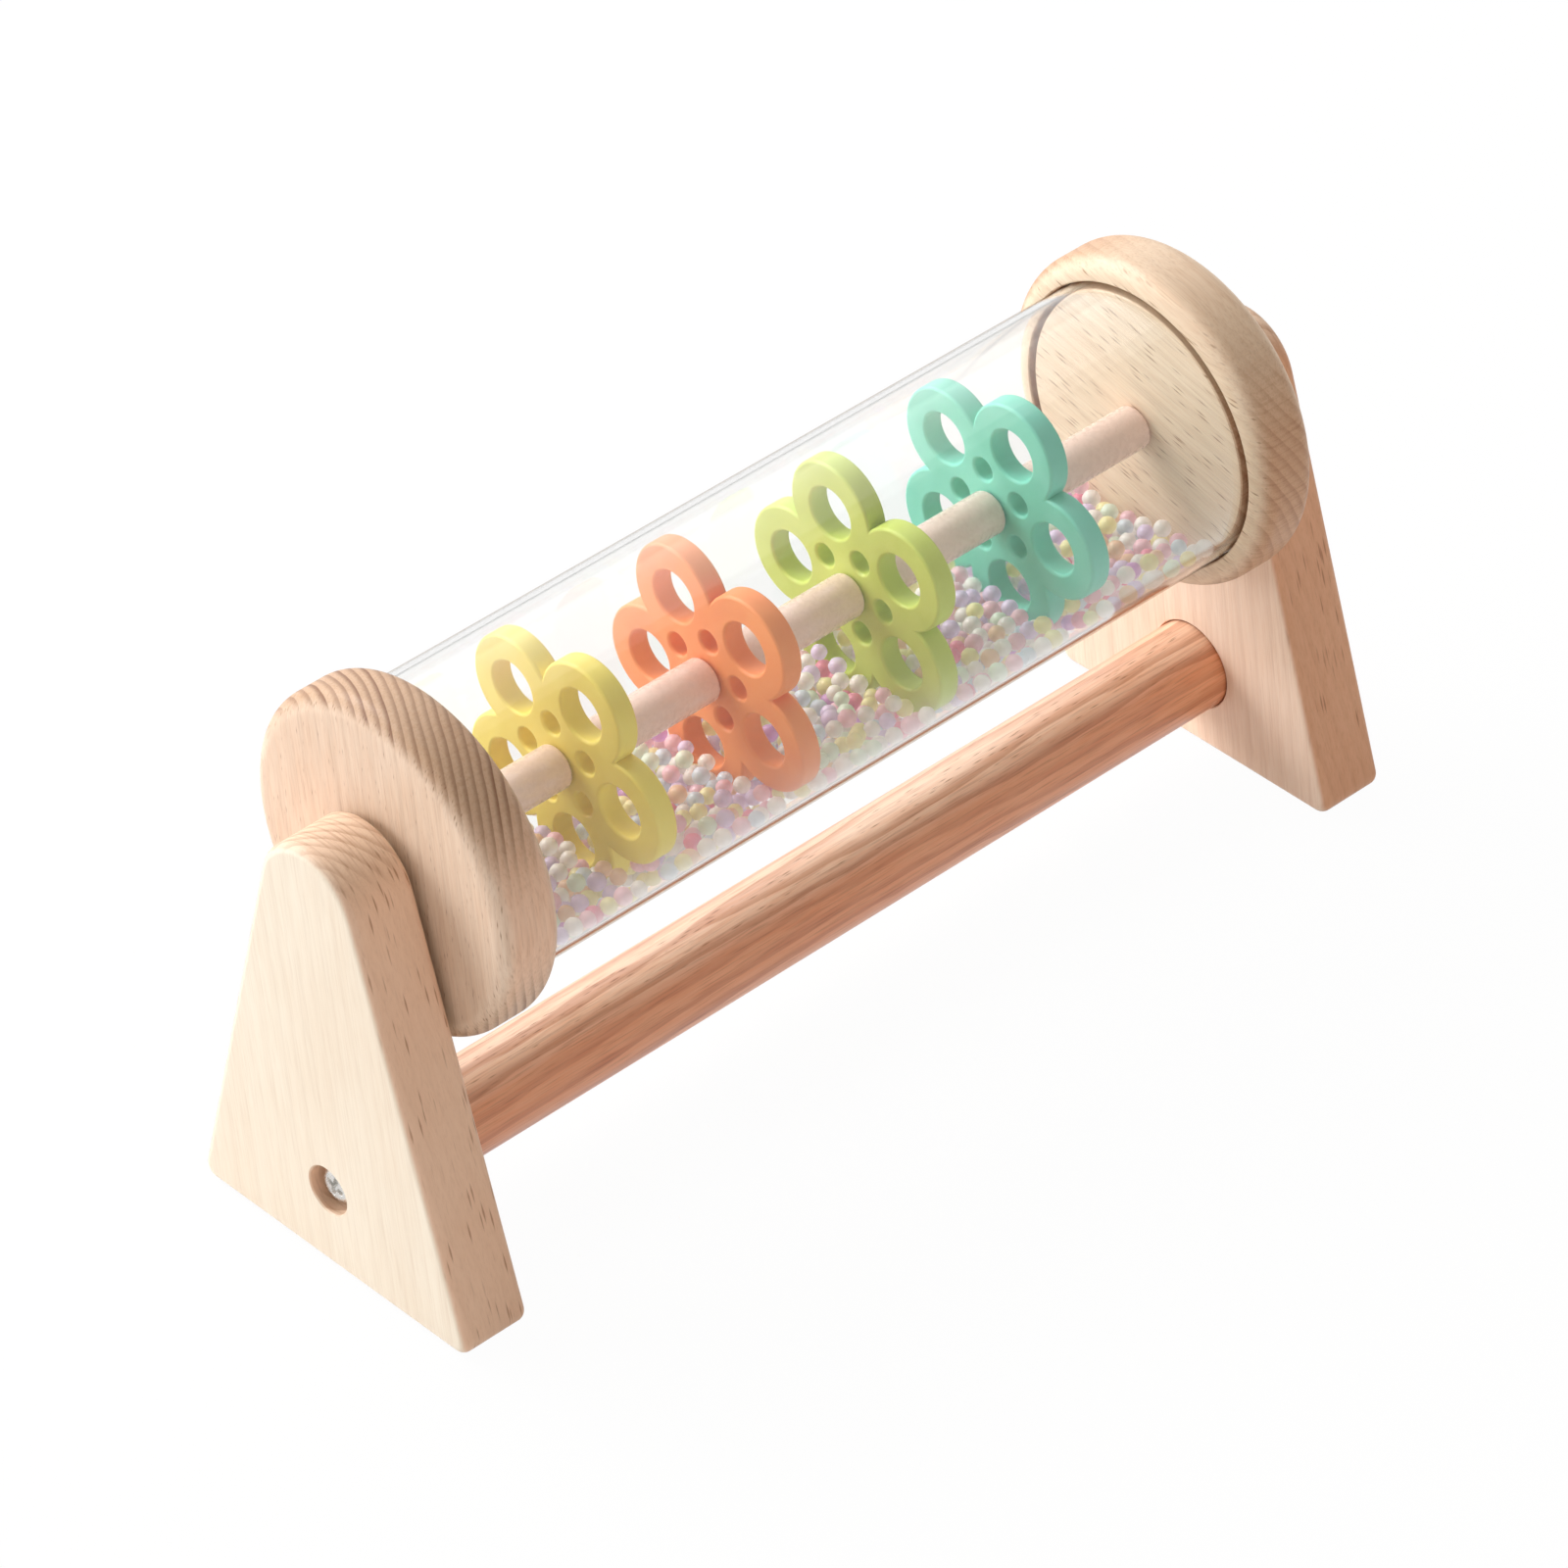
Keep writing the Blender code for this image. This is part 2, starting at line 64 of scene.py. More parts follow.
def turnedPoints(profile, height, steps):
    # each profile point (along, radius) becomes the circle (along, radius * cos t, height + radius * sin t),
    # with t going once round in equal steps
    turn = np.linspace(0, 2 * np.pi, steps, endpoint=False)
    along = profile[:, :1]
    radius = profile[:, 1:]
    rings = np.broadcast_arrays(along, radius * np.cos(turn), height + radius * np.sin(turn))
    return np.stack(rings, -1)


def gridFaces(rows, columns, closeRows):
    # four corners for each cell of a grid whose columns run round, and whose rows may close on themselves too
    corner = np.arange(rows * columns).reshape(rows, columns)
    if closeRows:
        corner = np.concatenate([corner, corner[:1]])
    corner = np.concatenate([corner, corner[:, :1]], 1)
    cells = np.stack([corner[:-1, :-1], corner[:-1, 1:], corner[1:, 1:], corner[1:, :-1]], -1)
    return cells.reshape(-1, 4)


def newPiece(name, material, points, faces, flatEnds=(), sharpAngle=40):
    mesh = bpy.data.meshes.new(name)
    mesh.from_pydata(points.reshape(-1, 3).tolist(), [], faces.tolist())
    work = bmesh.new()
    work.from_mesh(mesh)
    bmesh.ops.remove_doubles(work, verts=work.verts, dist=weldDistance)
    for end in flatEnds:  # a flat face between the open edges at each of these places along X
        rim = [e for e in work.edges if e.is_boundary and abs(e.verts[0].co.x - end) < onEnd]
        bmesh.ops.triangle_fill(work, edges=rim, use_beauty=True)
    bmesh.ops.recalc_face_normals(work, faces=work.faces)
    work.to_mesh(mesh)
    work.free()
    mesh.shade_smooth()
    mesh.set_sharp_from_angle(angle=math.radians(sharpAngle))
    mesh.materials.append(material)
    piece = bpy.data.objects.new(name, mesh)
    bpy.context.scene.collection.objects.link(piece)
    return piece


def turnedPiece(name, material, profile, height, steps, closed=True):
    points = turnedPoints(np.array(profile), height, steps)
    return newPiece(name, material, points, gridFaces(*points.shape[:2], closed))


def standIn(piece, node, body):
    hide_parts(node)
    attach(piece, body)


# Materials

def addNode(tree, kind, inputs=(), **settings):
    # inputs pairs a socket's name or number with a value or with another node's output
    node = tree.nodes.new("ShaderNode" + kind)
    for name, value in settings.items():
        setattr(node, name, value)
    for socket, value in dict(inputs).items():
        if isinstance(value, bpy.types.NodeSocket):
            tree.links.new(value, node.inputs[socket])
        else:
            node.inputs[socket].default_value = value
    return node


def newMaterial(name):
    material = bpy.data.materials.new(name)
    material.use_nodes = True
    return material, material.node_tree, material.node_tree.nodes["Principled BSDF"]


def scaled(tree, vector, scale, turn=(0, 0, 0), shift=(0, 0, 0)):
    turned = tuple(math.radians(angle) for angle in turn)
    inputs = {"Vector": vector, "Scale": scale, "Rotation": turned, "Location": shift}
    return addNode(tree, "Mapping", inputs).outputs[0]


def noise(tree, vector, detail=2, roughness=0.5):
    inputs = {"Vector": vector, "Scale": 1, "Detail": detail, "Roughness": roughness}
    return addNode(tree, "TexNoise", inputs).outputs["Fac"]


def remap(tree, value, low, high, toLow=0, toHigh=1):
    names = ("Value", "From Min", "From Max", "To Min", "To Max")
    inputs = dict(zip(names, (value, low, high, toLow, toHigh)))
    return addNode(tree, "MapRange", inputs, interpolation_type="SMOOTHSTEP").outputs[0]


def mixColour(tree, share, first, second, blend="MIX"):
    mix = addNode(tree, "Mix", {0: share, 6: first, 7: second}, data_type="RGBA", blend_type=blend)
    return mix.outputs[2]


def maths(tree, operation, first, second):
    return addNode(tree, "Math", {0: first, 1: second}, operation=operation).outputs[0]


def objectPlace(tree):
    return addNode(tree, "TexCoord").outputs["Object"]


def bump(tree, shader, height, strength, distance):
    inputs = {"Height": height, "Strength": strength, "Distance": distance}
    tree.links.new(addNode(tree, "Bump", inputs).outputs[0], shader.inputs["Normal"])


# Beech. grain turns a node about its middle so that its fibres lie along Z. A face that then looks along X
# shows short brown rays, one that looks along Y only fine lines, and one that looks along Z the growth rings.
beechLook = {
    # The default tones are the left leg's. Its sloping sides (fleckSide) are browner than its flat faces
    # (fineSide), partly for their rays and partly as painted shade on sides turned from the lamps.
    "fineSide": (0.872, 0.782, 0.654, 1),
    "fleckSide": (0.86, 0.585, 0.42, 1),
    "endSide": (0.76, 0.57, 0.43, 1),
    "streakTint": (0.90, 0.80, 0.72, 1),
    "ringTint": (0.60, 0.44, 0.34, 1),
    "rayTint": (0.50, 0.36, 0.27, 1),
    "ringGap": 0.0027,
    "ringTurn": 0,  # degrees about the fibres, from the face with the rays to the rings
    "ringWave": 1.2,  # how far slow noise bends the rings, in gaps
    "heart": 0.25,  # from the piece's middle to the tree's heart
    "ringTone": 0.16,  # on faces along the fibres
    "endRingTone": 0.55,
    "streakTone": 0.4,
    "fibreTone": 0.28,
    "rayTone": 0.85,
    "rayChance": (0.3, 0.75),
    "raySize": (0.0016, 0.0011, 0.017),  # one cell for each ray: its depth, width and length
    "roughness": (0.42, 0.60),
    "gloss": 0.45,
    "coat": 0,
    "spokeTone": 0.45,
    "slabFrom": (0.25, 0.8),  # how far a face turns toward X before it counts as one with rays, and toward Z
    "endFrom": (0.3, 0.95),  # before it counts as an end
    "along": 0,  # moves the pattern along the fibres
}


def beech(name, node, grain, **changes):
    look = {**beechLook, **changes}
    material, tree, shader = newMaterial(name)
    coordinates = addNode(tree, "TexCoord")
    low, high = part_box(node)
    centred = scaled(tree, coordinates.outputs["Object"], (1, 1, 1), shift=-(low + high) / 2)
    local = scaled(tree, centred, (1, 1, 1), turn=grain, shift=(0, 0, look["along"]))
    normal = scaled(tree, coordinates.outputs["Normal"], (1, 1, 1), turn=grain)
    facing = addNode(tree, "SeparateXYZ", {0: normal})
    slab = remap(tree, maths(tree, "ABSOLUTE", facing.outputs[0], 0), *look["slabFrom"])
    end = remap(tree, maths(tree, "ABSOLUTE", facing.outputs[2], 0), *look["endFrom"])

    # growth rings: the distance from the heart, bent by slow noise, rises from pale to dark in each year
    heart = scaled(tree, local, (1, 1, 1), turn=(0, 0, look["ringTurn"]), shift=(look["heart"], 0, 0))
    fromHeart = addNode(tree, "SeparateXYZ", {0: heart})
    squares = [maths(tree, "MULTIPLY", fromHeart.outputs[i], fromHeart.outputs[i]) for i in (0, 1)]
    distance = maths(tree, "SQRT", maths(tree, "ADD", *squares), 0)
    wobble = noise(tree, scaled(tree, local, (45, 45, 9)), detail=3)
    bent = maths(tree, "ADD", distance, maths(tree, "MULTIPLY", wobble, look["ringGap"] * look["ringWave"]))
    years = maths(tree, "DIVIDE", bent, look["ringGap"])
    phase = maths(tree, "FRACT", years, 0)
    late = maths(tree, "MULTIPLY", remap(tree, phase, 0.3, 0.9), remap(tree, phase, 0.93, 1.0, 1, 0))
    yearly = addNode(tree, "TexWhiteNoise", {"W": maths(tree, "FLOOR", years, 0)}, noise_dimensions="1D")
    ring = maths(tree, "MULTIPLY", late, remap(tree, yearly.outputs[0], 0, 1, 0.6, 1))
    ringShare = maths(tree, "MULTIPLY", ring, remap(tree, end, 0, 1, look["ringTone"], look["endRingTone"]))

    # fibres, streaks and slow changes of tone
    fibre = noise(tree, scaled(tree, local, (2600, 2600, 80)), detail=3, roughness=0.6)
    streak = noise(tree, scaled(tree, local, (1200, 1200, 95)), detail=3, roughness=0.6)
    cloud = noise(tree, scaled(tree, local, (60, 60, 22)), detail=2)

    # rays: one lens in each stretched cell, of which only some are dark
    cells = scaled(tree, local, tuple(1 / size for size in look["raySize"]))
    ray = addNode(tree, "TexVoronoi", {"Vector": cells, "Scale": 1, "Exponent": 1.3}, distance="MINKOWSKI")
    chance = addNode(tree, "SeparateColor", {0: ray.outputs["Color"]})
    lens = maths(tree, "MULTIPLY", remap(tree, ray.outputs["Distance"], 0.12, 0.38, 1, 0),
                 remap(tree, chance.outputs[0], *look["rayChance"]))
    rayShare = maths(tree, "MULTIPLY", lens, maths(tree, "MULTIPLY", slab, look["rayTone"]))
    # on an end the rays are fine pale and dark lines across the rings
    spokes = noise(tree, scaled(tree, local, (60, 1500, 150)), detail=2)
    spokeShare = maths(tree, "MULTIPLY", end, remap(tree, spokes, 0.45, 0.7, 0, look["spokeTone"]))

    streaks = remap(tree, streak, 0.35, 0.7, 0, look["streakTone"])
    tone = maths(tree, "ADD", remap(tree, cloud, 0.3, 0.7, 0, 0.3), streaks)
    colour = mixColour(tree, slab, look["fineSide"], look["fleckSide"])
    colour = mixColour(tree, end, colour, look["endSide"])
    colour = mixColour(tree, tone, colour, look["streakTint"], "MULTIPLY")
    colour = mixColour(tree, ringShare, colour, look["ringTint"], "MULTIPLY")
    colour = mixColour(tree, spokeShare, colour, look["ringTint"], "MULTIPLY")
    fibres = remap(tree, fibre, 0.45, 0.75, 0, look["fibreTone"])
    colour = mixColour(tree, fibres, colour, look["rayTint"], "MULTIPLY")
    colour = mixColour(tree, rayShare, colour, look["rayTint"], "MULTIPLY")
    tree.links.new(colour, shader.inputs["Base Color"])
    tree.links.new(remap(tree, fibre, 0.3, 0.8, *look["roughness"]), shader.inputs["Roughness"])
    bump(tree, shader, maths(tree, "SUBTRACT", fibre, maths(tree, "MULTIPLY", rayShare, 0.6)), 0.3, 0.00006)
    shader.inputs["Specular IOR Level"].default_value = look["gloss"]
    shader.inputs["Coat Weight"].default_value = look["coat"]
    shader.inputs["Coat Roughness"].default_value = 0.35
    return material


def speckled(name, colour, second, roughness, grainSize, relief, **values):
    # a moulded or cast surface: two close tones in a fine mottle, with a faint relief
    material, tree, shader = newMaterial(name)
    place = objectPlace(tree)
    fine = noise(tree, scaled(tree, place, (1 / grainSize,) * 3), detail=3)
    broad = noise(tree, scaled(tree, place, (90, 90, 90)), detail=2)
    tint = mixColour(tree, remap(tree, broad, 0.3, 0.7), colour, second)
    tint = mixColour(tree, remap(tree, fine, 0.3, 0.8, 0, 0.25), tint, second)
    tree.links.new(tint, shader.inputs["Base Color"])
    gloss = remap(tree, fine, 0.3, 0.7, roughness - 0.06, roughness + 0.06)
    tree.links.new(gloss, shader.inputs["Roughness"])
    bump(tree, shader, fine, relief, 0.00004)
    for socket, value in values.items():
        shader.inputs[socket.replace("_", " ")].default_value = value
    return material


def zincPlate(name):
    material, tree, shader = newMaterial(name)
    place = objectPlace(tree)
    fine = noise(tree, scaled(tree, place, (2500, 2500, 2500)), detail=3)
    tint = mixColour(tree, fine, (0.62, 0.61, 0.58, 1), (0.80, 0.79, 0.77, 1))
    tree.links.new(tint, shader.inputs["Base Color"])
    tree.links.new(remap(tree, fine, 0.3, 0.7, 0.22, 0.40), shader.inputs["Roughness"])
    shader.inputs["Metallic"].default_value = 1
    bump(tree, shader, fine, 0.15, 0.00003)
    return material


def acrylic(name):
    # clear and polished; lamps shine through it straight, because its wall is even
    material, tree, shader = newMaterial(name)
    shader.inputs["Base Color"].default_value = (0.965, 0.965, 0.955, 1)
    shader.inputs["Transmission Weight"].default_value = 1
    shader.inputs["IOR"].default_value = 1.4
    place = objectPlace(tree)
    smear = noise(tree, scaled(tree, place, (14, 60, 60)), detail=3)
    tree.links.new(remap(tree, smear, 0.4, 0.8, 0.0, 0.05), shader.inputs["Roughness"])
    path = addNode(tree, "LightPath")
    lit = maths(tree, "MAXIMUM", path.outputs["Is Shadow Ray"], path.outputs["Is Diffuse Ray"])
    through = addNode(tree, "BsdfTransparent", {"Color": (0.98, 0.98, 0.98, 1)})
    mix = addNode(tree, "MixShader", {0: lit, 1: shader.outputs[0], 2: through.outputs[0]})
    # where it is seen along its wall, the wall takes some light away
    facing = addNode(tree, "LayerWeight", {"Blend": 0.5}).outputs["Facing"]
    edge = addNode(tree, "BsdfTransparent", {"Color": (0.84, 0.82, 0.79, 1)})
    share = remap(tree, facing, 0.84, 0.92, 0, 0.9)
    whole = addNode(tree, "MixShader", {0: share, 1: mix.outputs[0], 2: edge.outputs[0]})
    tree.links.new(whole.outputs[0], tree.nodes["Material Output"].inputs["Surface"])
    return material


# each piece's grain, as turns about X, Y and Z
legGrain = (6, 0, 90)  # fibres up, leaning a little to the back, and rings stacked along Y
leftDiscGrain = (5, 0, 0)  # fibres up, rings stacked along X
rightDiscGrain = (76, 0, 0)  # fibres nearly level along Y, rings stacked along X
barGrain = (0, -90, 0)  # fibres along X
# Left leg: the browner tone of the sloping sides is partly painted shade.
leftLegWood = beech("beechLegLeft", "leg_left", legGrain, ringTurn=58, streakTone=0.15, fibreTone=0.14,
                    ringTone=0.08, raySize=(0.005, 0.001, 0.012), rayTone=0.8, rayChance=(0, 0.5),
                    endSide=(0.84, 0.63, 0.47, 1))
# Right leg: its flat faces' pale fineSide is painted light, paler than the left leg's, and its sloping sides'
# dark fleckSide is painted shade.
rightLegWoodPaintedLightAndShade = beech("beechLegRight", "leg_right", legGrain, ringTurn=58, fineSide=(0.99, 0.80, 0.66, 1),
                     fleckSide=(0.775, 0.425, 0.255, 1), streakTone=0.3, fibreTone=0.2, along=0.3,
                     raySize=(0.005, 0.001, 0.012), rayTone=0.75, rayChance=(0, 0.5))
# Bar: slabFrom gives the pale fleckSide only to the faces turned up and down, so the top and the underside
# carry painted light, and the dark red fineSide of the front and back is painted shade.
barWoodPaintedLightAndShade = beech("beechBar", "crossbar", barGrain, fineSide=(0.91, 0.43, 0.235, 1),
                fleckSide=(1, 0.72, 0.54, 1), slabFrom=(0.6, 1), streakTone=0.6, fibreTone=0.55, ringTone=0.7,
                streakTint=(0.94, 0.78, 0.68, 1), ringTint=(0.60, 0.40, 0.30, 1),
                ringGap=0.004, heart=0.015, ringWave=3, rayTone=0.9, raySize=(0.0012, 0.0006, 0.006),
                roughness=(0.36, 0.5), gloss=0.6, coat=0.3)
# Left disc: the browner fineSide of the rim's front and back is partly painted shade. The dark endSide,
# spread by endFrom over much of the rim's top and bottom, is partly end grain and partly painted shade.
leftDiscWood = beech("beechDiscLeft", "drum_disc_left", leftDiscGrain, ringTurn=28,
                     fineSide=(0.865, 0.586, 0.427, 1), fleckSide=(0.82, 0.64, 0.50, 1),
                     endSide=(0.60, 0.41, 0.275, 1), ringTint=(0.38, 0.25, 0.17, 1), streakTone=0.45,
                     ringTone=0.1, endRingTone=0.95, ringGap=0.0021, ringWave=0.9, spokeTone=0.1,
                     endFrom=(0.12, 0.75), raySize=(0.0012, 0.0006, 0.005), rayTone=0.9,
                     rayChance=(0.1, 0.6))
# Right disc: its faces' pale fleckSide is painted light, paler than the left disc's faces, standing in for
# light that the flowers keep off the inner face.
rightDiscWoodPaintedLight = beech("beechDiscRight", "drum_disc_right", rightDiscGrain, ringTurn=30,
                      fineSide=(0.78, 0.61, 0.45, 1), fleckSide=(0.955, 0.775, 0.60, 1),
                      endSide=(0.63, 0.385, 0.235, 1), raySize=(0.0016, 0.0009, 0.008), rayChance=(0.4, 0.9),
                      along=0.2)
rodWood = beech("beechRod", "axle_rod", barGrain)
zinc = zincPlate("zincPlatedSteel")
clear = acrylic("clearAcrylic")
sleevePlastic = speckled("sleevePlastic", (0.89, 0.69, 0.605, 1), (0.85, 0.64, 0.555, 1), 0.28, 0.0012, 0.06,
                         Coat_Weight=0.3, Coat_Roughness=0.15)
nylon = speckled("washerNylon", (0.80, 0.79, 0.76, 1), (0.74, 0.73, 0.70, 1), 0.5, 0.0006, 0.1)
print("materials made")


# Stand

standLook = {
    "legTopRadius": 0.0154,
    "legFootRadius": 0.0035,
    "legEdgeRound": 0.0021,
    "counterboreRadius": 0.006,
    "counterboreDepth": 0.005,
    "screwHoleRadius": 0.0022,
    "socketDepth": 0.003,
    "socketGap": 0.0002,
    "bearingRadius": 0.0033,
    "bearingDepth": 0.010,
    "bearingSteps": 48,
    "drillOverrun": 0.001,  # how far the drill stands out of the face
    "lip": 0.0003,  # the edge broken round each hole
    "footSteps": 10,
    "topSteps": 48,
    "sideSteps": 26,
    "edgeRows": 9,
    "faceRows": 10,
}


def legOutline(low, high, look):
    # the hull of two small foot circles and one large top circle, walked once round.
    # Returns the points and the outward direction at each, both in (Y, Z).
    top = np.array([0, axisHeight])
    foot = look["legFootRadius"]
    halfWidth = (high.y - low.y) / 2
    # a foot's centre lies so that its circle reaches the half width, as the sloping side leaves it there
    centre = np.array([halfWidth - foot, foot])
    span = top - centre
    reach = np.hypot(*span)
    slope = np.degrees(np.arctan2(span[1], span[0]) - np.arccos((foot - look["legTopRadius"]) / reach))
    mirror = np.array([-1, 1])
    stops = [(centre, foot, -90, slope, look["footSteps"]),
             (top, look["legTopRadius"], slope, 180 - slope, look["topSteps"]),
             (centre * mirror, foot, 180 - slope, 270, look["footSteps"])]
    points, directions = [], []
    for place, radius, start, end, steps in stops:
        around = arcPoints((0, 0), 1, start, end, steps)
        points.append(place + radius * around)
        directions.append(around)
    # the straight sides between the arcs, in even steps
    walkPoints, walkDirections = [], []
    for i in range(3):
        ahead = (i + 1) % 3
        share = np.linspace(0, 1, look["sideSteps"])[1:-1, None]
        walkPoints += [points[i], points[i][-1] * (1 - share) + points[ahead][0] * share]
        walkDirections += [directions[i], np.repeat(directions[i][-1:], len(share), 0)]
    return np.concatenate(walkPoints), np.concatenate(walkDirections)


def makeLeg(side, node, look):
    # One closed surface: its columns walk round the leg's outline, and its rows go from the screw hole out
    # over the outer face, round the rounded edges and back over the inner face to the bar's socket.
    low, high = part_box(node)
    barLow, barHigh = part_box("crossbar")
    hole = np.array([0, (barLow.z + barHigh.z) / 2])
    barRadius = (barHigh.z - barLow.z) / 2 + look["socketGap"]
    outline, outward = legOutline(low, high, look)
    toward = outline - hole
    toward = toward / np.hypot(*toward.T)[:, None]
    thickness = high.x - low.x
    rounding, lip = look["legEdgeRound"], look["lip"]

    def ringAt(radius, depth):  # a circle round the hole, at a depth under the outer face
        return hole + radius * toward, np.full(len(outline), depth)

    def faceRings(radius, depth, shares):  # flat rings from that circle out to the rounded edge
        inner, outer = hole + radius * toward, outline - rounding * outward
        return [(inner + share * (outer - inner), np.full(len(outline), depth)) for share in shares]

    def edgeRings(start, end, centreDepth):  # quarter turn of the rounded edge
        turn = np.radians(np.linspace(start, end, look["edgeRows"]))
        return [(outline - rounding * (1 - np.cos(t)) * outward,
                 np.full(len(outline), centreDepth + rounding * np.sin(t))) for t in turn]

    bore, boreFloor = look["counterboreRadius"], look["counterboreDepth"]
    socketFloor = thickness - look["socketDepth"]
    spread = np.linspace(0, 1, look["faceRows"])[1:-1]
    rows = [ringAt(look["screwHoleRadius"], socketFloor), ringAt(look["screwHoleRadius"], boreFloor),
            ringAt(bore, boreFloor), ringAt(bore, lip), ringAt(bore + lip, 0)]
    rows += faceRings(bore + lip, 0, spread)
    rows += edgeRings(-90, 0, rounding)
    rows += edgeRings(0, 90, thickness - rounding)
    rows += faceRings(barRadius + lip, thickness, spread[::-1])
    rows += [ringAt(barRadius + lip, thickness), ringAt(barRadius, thickness - lip),
             ringAt(barRadius, socketFloor)]
    across = np.stack([place for place, depth in rows])
    depth = np.stack([depth for place, depth in rows])
    outerFace = high.x if side > 0 else low.x
    points = np.concatenate([(outerFace - side * depth)[..., None], across], -1)
    wood = leftLegWood if side < 0 else rightLegWoodPaintedLightAndShade
    leg = newPiece("leg" + node[4:].title(), wood, points, gridFaces(*points.shape[:2], True))
    drillBearing(leg, side, high.x if side < 0 else low.x, look)
    standIn(leg, node, "stand")


def drillBearing(leg, side, innerFace, look):
    # the blind hole that the rod's end turns in
    ends = innerFace + side * np.array([look["bearingDepth"], -look["drillOverrun"]])
    radius = look["bearingRadius"]
    profile = [(ends[0], 0), (ends[0], radius), (ends[1], radius), (ends[1], 0)]
    drill = turnedPiece("drill", leg.data.materials[0], profile, axisHeight, look["bearingSteps"],
                        closed=False)
    cut = leg.modifiers.new("bearing", "BOOLEAN")
    cut.object = drill
    cut.solver = "EXACT"
    graph = bpy.context.evaluated_depsgraph_get()
    leg.data = bpy.data.meshes.new_from_object(leg.evaluated_get(graph))
    leg.modifiers.clear()
    bpy.data.objects.remove(drill, do_unlink=True)
    even = leg.modifiers.new("even shading", "WEIGHTED_NORMAL")
    even.keep_sharp = True


for side, node in ((-1, "leg_left"), (1, "leg_right")):
    makeLeg(side, node, standLook)

barLook = {
    "chamfer": 0.0008,
    "chamferBend": 0.3,  # where the chamfer is bent once, as a share of it
    "steps": 112,
    "rows": 40,
    "pilotRadius": 0.0022,
    "pilotGap": 0.0003,  # from the screw's point to the bottom of its hole
}


def makeBar(look):
    low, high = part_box("crossbar")
    radius, height = (high.z - low.z) / 2, (high.z + low.z) / 2
    pilot = min(abs(corner.x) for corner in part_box("crossbar_screw_right")) - look["pilotGap"]
    chamfer = look["chamfer"]
    bend = look["chamferBend"] * chamfer
    half = [(pilot, 0), (pilot, look["pilotRadius"]), (high.x, look["pilotRadius"]),
            (high.x, radius - chamfer), (high.x - bend, radius - bend),
            (high.x - chamfer, radius)]
    along = [(x, radius) for x in np.linspace(high.x - chamfer, low.x + chamfer, look["rows"])[1:-1]]
    profile = half + along + [(-x, r) for x, r in reversed(half)]
    bar = turnedPiece("roundBar", barWoodPaintedLightAndShade, profile, height, look["steps"], closed=False)
    standIn(bar, "crossbar", "stand")


makeBar(barLook)

screwLook = {
    "headRadius": 0.0045,
    "headHeight": 0.0028,
    "headRound": 0.0017,
    "shankRadius": 0.002,
    "thread": 0.0003,
    "threadPitch": 0.0018,
    "tip": 0.004,
    "recessSpan": 0.0048,
    "recessWidth": 0.0012,
    "recessDepth": 0.0016,
    "recessTurn": 20,
    "recessTaper": 0.45,
    "recessSoftness": (0.0002, 0.0003),  # over how far its walls rise, across and at the ends
    "threadFade": 0.004,
    "steps": 144,
    "headRows": 44,
    "shankRows": 130,
    "tipRows": 16,
}


def makeScrew(side, node, look):
    # The head's height over its seat is a dome less the cross: depth * inside(bar 1 or bar 2), with soft
    # walls. Below the head the shank's radius follows a helix: radius + thread * sin(2 pi x / pitch - t).
    low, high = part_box(node)
    height = (low.z + high.z) / 2
    outer = high.x if side > 0 else low.x
    length = high.x - low.x
    turn = np.linspace(0, 2 * np.pi, look["steps"], endpoint=False)
    rim = look["headRadius"] - look["headRound"]
    inward = np.linspace(0, 1, look["headRows"])[1:] * rim
    dome = arcPoints((0, 0), look["headRound"], 90, 0, 8)[1:]
    radius = np.concatenate([inward, rim + dome[:, 0]])
    sunk = np.concatenate([np.zeros(len(inward)), look["headRound"] - dome[:, 1]])
    y = radius[:, None] * np.cos(turn)
    z = radius[:, None] * np.sin(turn)
    angle = math.radians(look["recessTurn"])
    first = y * math.cos(angle) + z * math.sin(angle)
    second = z * math.cos(angle) - y * math.sin(angle)

    acrossSoft, endSoft = look["recessSoftness"]

    def inBar(a, b):
        wide = np.clip((look["recessWidth"] / 2 - np.abs(a)) / acrossSoft + 0.5, 0, 1)
        long = np.clip((look["recessSpan"] / 2 - np.abs(b)) / endSoft + 0.5, 0, 1)
        return wide * long

    cross = np.maximum(inBar(first, second), inBar(second, first))
    taper = 1 - look["recessTaper"] * (radius[:, None] / (look["recessSpan"] / 2)) ** 2
    depth = sunk[:, None] + look["recessDepth"] * cross * np.clip(taper, 0, 1)
    centre = np.full((1, len(turn)), look["recessDepth"])
    depth = np.concatenate([centre, depth])
    y = np.concatenate([np.zeros_like(centre), y])
    z = np.concatenate([np.zeros_like(centre), z])

    shank = np.linspace(look["headHeight"], length - look["tip"], look["shankRows"])
    narrow = np.linspace(length - look["tip"], length, look["tipRows"])
    fade = np.clip((shank - look["headHeight"]) / look["threadFade"], 0, 1)[:, None]
    helix = np.sin(2 * np.pi * shank[:, None] / look["threadPitch"] - turn)
    core = look["shankRadius"] - look["thread"]
    shankRadius = core + look["thread"] * fade * (0.5 + 0.5 * helix)
    tipRadius = core * (1 - np.linspace(0, 1, look["tipRows"])[:, None]) * np.ones_like(turn)
    under = np.full((1, len(turn)), look["headHeight"])
    rings = np.concatenate([shankRadius, tipRadius])
    below = np.concatenate([shank, narrow])[:, None] * np.ones_like(turn)
    depth = np.concatenate([depth, under, below])
    y = np.concatenate([y, look["headRadius"] * np.cos(turn)[None], rings * np.cos(turn)])
    z = np.concatenate([z, look["headRadius"] * np.sin(turn)[None], rings * np.sin(turn)])
    points = np.stack([outer - side * depth, y, height + z], -1)
    screw = newPiece("screw" + node[15:].title(), zinc, points, gridFaces(*points.shape[:2], False))
    standIn(screw, node, "stand")


